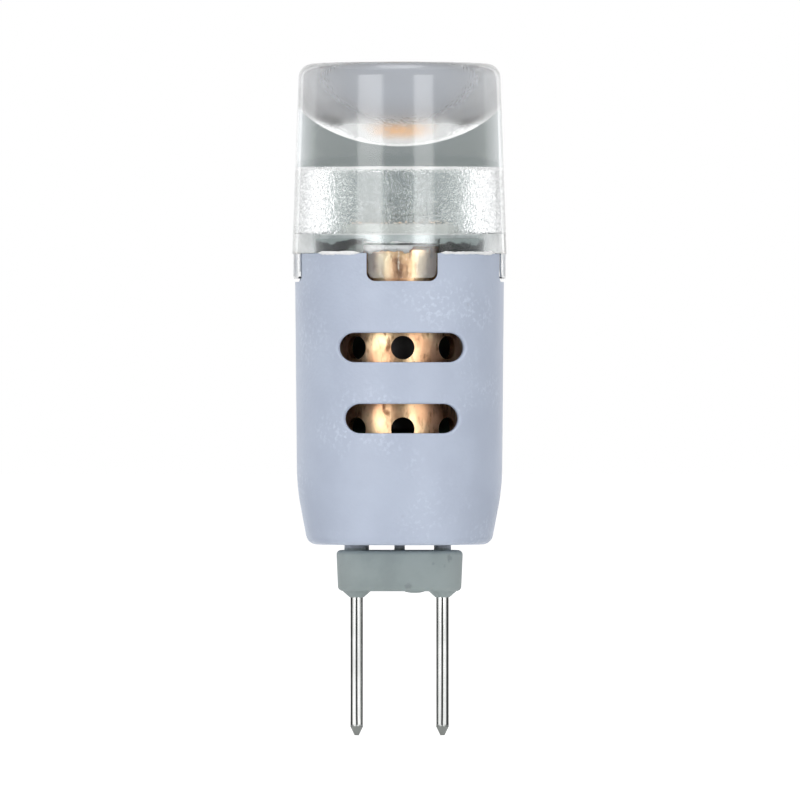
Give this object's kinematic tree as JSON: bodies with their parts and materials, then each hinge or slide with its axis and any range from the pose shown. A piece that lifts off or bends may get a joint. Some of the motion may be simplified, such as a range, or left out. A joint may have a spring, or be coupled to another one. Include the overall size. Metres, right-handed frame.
{
  "type": "led capsule bulb",
  "caption": "Low-voltage LED capsule lamp: clear bowl-topped optic clipped to a slotted plastic sleeve over a perforated copper heat sink, on a cast base with round contact pins.",
  "frame": {"origin": "on the lamp's axis, level with the noses of the base block where the contact pins come out", "axes": "+Z along the lamp's axis towards the light, +X through both pins, -Y the front with an air-slot side"},
  "size_m": [0.01, 0.01, 0.0313],
  "materials": {
    "clear_plastic": "clear, with a hammered texture on the inner faces",
    "sleeve_plastic": "fine matt moulding",
    "copper": "drawn copper, stained",
    "base_resin": "cast, matt",
    "pin_metal": "bright plated",
    "board_metal": "sheared edge, printed top",
    "white_glue": "dried white paste",
    "seal_rubber": "dark, satin",
    "white_silicone": "satin",
    "phosphor": "smooth silicone",
    "die": "polished",
    "solder": "bright solder",
    "tinned_wire": "tinned",
    "board_laminate": "laminate",
    "chip_resin": "moulded",
    "ferrite": "sintered",
    "winding": "enamelled wire",
    "capacitor_body": "fired",
    "diode_body": "moulded",
    "resistor_body": "glazed film"
  },
  "bodies": {
    "root": {"optic": "clear_plastic", "sleeve": "sleeve_plastic", "heat_sink": "copper", "base_block": "base_resin", "pin_left": "pin_metal", "pin_right": "pin_metal", "led_board": "board_metal", "thermal_glue": "white_glue", "board_seal": "seal_rubber", "led_dam": "white_silicone", "led_phosphor": "phosphor", "led_die_1": "die", "led_die_2": "die", "led_die_3": "die", "led_die_4": "die", "led_solder_left": "solder", "led_solder_right": "solder", "driver_solder_left": "solder", "driver_solder_right": "solder", "pin_solder_left": "solder", "pin_solder_right": "solder", "lead_wire_left": "tinned_wire", "lead_wire_right": "tinned_wire", "driver_board": "board_laminate", "rectifier_bridge": "chip_resin", "driver_chip": "chip_resin", "coil_core": "ferrite", "coil_winding": "winding", "input_capacitor": "capacitor_body", "output_capacitor": "capacitor_body", "freewheel_diode": "diode_body", "sense_resistor": "resistor_body"}
  },
  "joints": []
}
